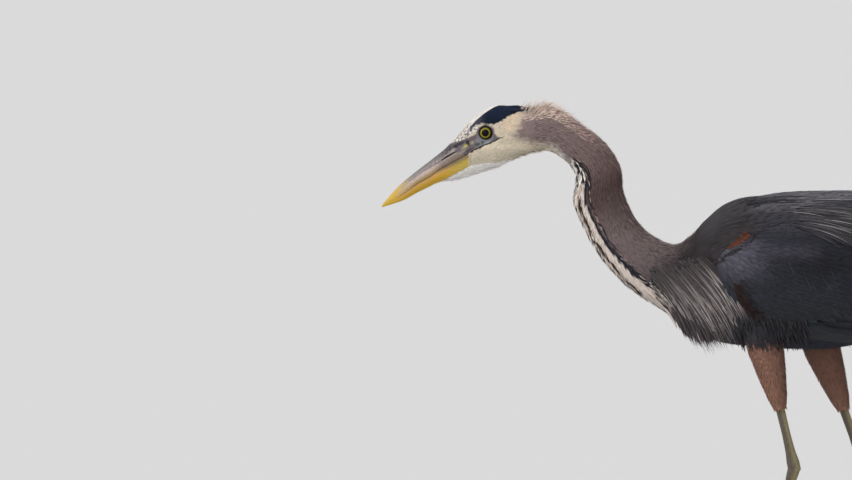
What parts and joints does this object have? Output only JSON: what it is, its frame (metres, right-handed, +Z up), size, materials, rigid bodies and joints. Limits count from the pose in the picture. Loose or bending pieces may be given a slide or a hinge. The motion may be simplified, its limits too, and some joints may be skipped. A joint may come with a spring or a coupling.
{
  "type": "great blue heron",
  "caption": "Still, life-size great blue heron that stands with its neck stretched forward as if stalking, for a display or diorama.",
  "frame": {"origin": "on the floor under the middle of the whole bird's box", "axes": "+Z is up, the bird faces -Y with its bill, and +X is its left side"},
  "size_m": [0.1964, 0.9458, 0.6756],
  "materials": {
    "head_plumage": "matte",
    "neck_plumage": "matte",
    "grey_plumage": "matte",
    "flight_plumage": "matte",
    "rufous_plumage": "matte",
    "bill_horn": "satin",
    "eye": "gloss",
    "leg_scales": "satin",
    "claw_horn": "satin"
  },
  "bodies": {
    "root": {"head": "head_plumage", "bill_upper": "bill_horn", "bill_lower": "bill_horn", "eye_left": "eye", "eye_right": "eye", "neck_nape": "neck_plumage", "neck_bend": "neck_plumage", "neck_middle": "neck_plumage", "neck_base": "neck_plumage", "trunk": "grey_plumage", "breast_plumes": "grey_plumage", "tail": "flight_plumage", "scapulars_left": "grey_plumage", "wing_left_coverts": "flight_plumage", "wing_left_secondaries": "flight_plumage", "wing_left_primaries": "flight_plumage", "thigh_left": "rufous_plumage", "tibia_left": "leg_scales", "tarsus_left": "leg_scales", "foot_left": "leg_scales", "toe_left_inner": "leg_scales", "claw_left_inner": "claw_horn", "toe_left_middle": "leg_scales", "claw_left_middle": "claw_horn", "toe_left_outer": "leg_scales", "claw_left_outer": "claw_horn", "toe_left_hind": "leg_scales", "claw_left_hind": "claw_horn", "scapulars_right": "grey_plumage", "wing_right_coverts": "flight_plumage", "wing_right_secondaries": "flight_plumage", "wing_right_primaries": "flight_plumage", "thigh_right": "rufous_plumage", "tibia_right": "leg_scales", "tarsus_right": "leg_scales", "foot_right": "leg_scales", "toe_right_inner": "leg_scales", "claw_right_inner": "claw_horn", "toe_right_middle": "leg_scales", "claw_right_middle": "claw_horn", "toe_right_outer": "leg_scales", "claw_right_outer": "claw_horn", "toe_right_hind": "leg_scales", "claw_right_hind": "claw_horn"}
  },
  "joints": []
}
